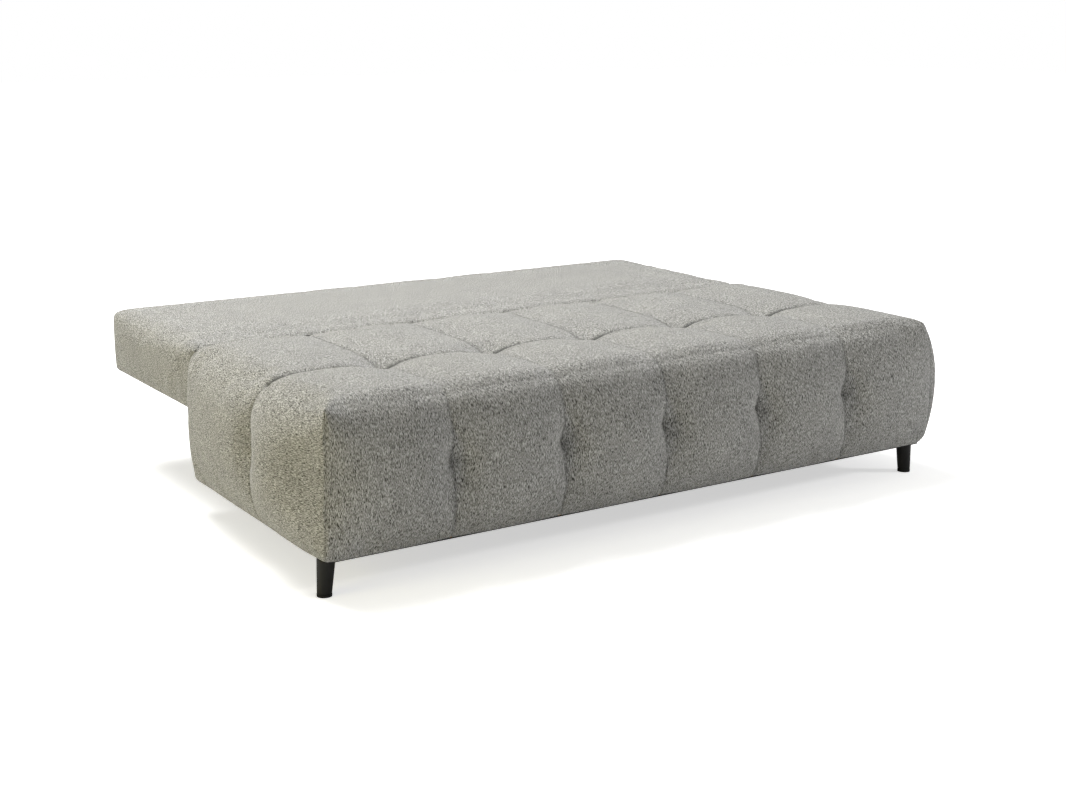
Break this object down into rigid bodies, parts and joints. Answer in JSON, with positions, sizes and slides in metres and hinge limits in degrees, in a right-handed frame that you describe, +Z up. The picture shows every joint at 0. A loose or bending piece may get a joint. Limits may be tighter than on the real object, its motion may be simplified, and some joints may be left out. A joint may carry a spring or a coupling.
{
  "type": "sofa bed",
  "caption": "Futon sofa bed: tufted upholstered seat block on tapered legs, with a smooth backrest that folds down flat behind it to make a bed.",
  "frame": {"origin": "on the floor under the centre of the bounding box, with the backrest folded flat", "axes": "+X along the width, +Y to the rear edge of the folded backrest, +Z up"},
  "size_m": [1.95, 1.475, 0.45],
  "materials": {
    "upholstery": "woven chenille",
    "black_wood": "satin black paint",
    "timber": "raw timber",
    "cover_board": "black cloth over board",
    "black_steel": "black powder coat",
    "zinc_steel": "zinc plate",
    "rubber": "matte"
  },
  "bodies": {
    "seat": {"backrest_rests": "rubber", "bracket_bolts": "zinc_steel", "bracket_nuts": "zinc_steel", "front_left_leg": "black_wood", "front_leg_studs": "zinc_steel", "front_right_leg": "black_wood", "left_hinge_bracket": "black_steel", "leg_glides": "rubber", "pivot_washers": "zinc_steel", "rear_cross_tube": "black_steel", "rear_left_leg": "black_wood", "rear_leg_studs": "zinc_steel", "rear_right_leg": "black_wood", "right_hinge_bracket": "black_steel", "seat_centre_cross_rail": "timber", "seat_corner_posts": "timber", "seat_cover_board": "cover_board", "seat_cushion": "upholstery", "seat_front_padding": "upholstery", "seat_front_rail": "timber", "seat_left_cross_rail": "timber", "seat_left_end_padding": "upholstery", "seat_left_end_rail": "timber", "seat_rear_padding": "upholstery", "seat_rear_rail": "timber", "seat_right_cross_rail": "timber", "seat_right_end_padding": "upholstery", "seat_right_end_rail": "timber", "seat_slats": "timber"},
    "backrest": {"arm_screws": "zinc_steel", "back_cover_board": "cover_board", "back_cushion": "upholstery", "back_front_padding": "upholstery", "back_front_rail": "timber", "back_left_end_padding": "upholstery", "back_left_end_rail": "timber", "back_left_stile": "timber", "back_rear_padding": "upholstery", "back_rear_rail": "timber", "back_right_end_padding": "upholstery", "back_right_end_rail": "timber", "back_right_stile": "timber", "back_slats": "timber", "left_hinge_arm": "black_steel", "left_pivot_pin": "zinc_steel", "pivot_clips": "zinc_steel", "right_hinge_arm": "black_steel", "right_pivot_pin": "zinc_steel"}
  },
  "joints": [
    {"name": "backrest_fold", "type": "hinge", "parent": "seat", "child": "backrest", "pos_m": [0, 0.133, 0.42], "axis": [1, 0, 0], "range_deg": [0, 82]}
  ]
}
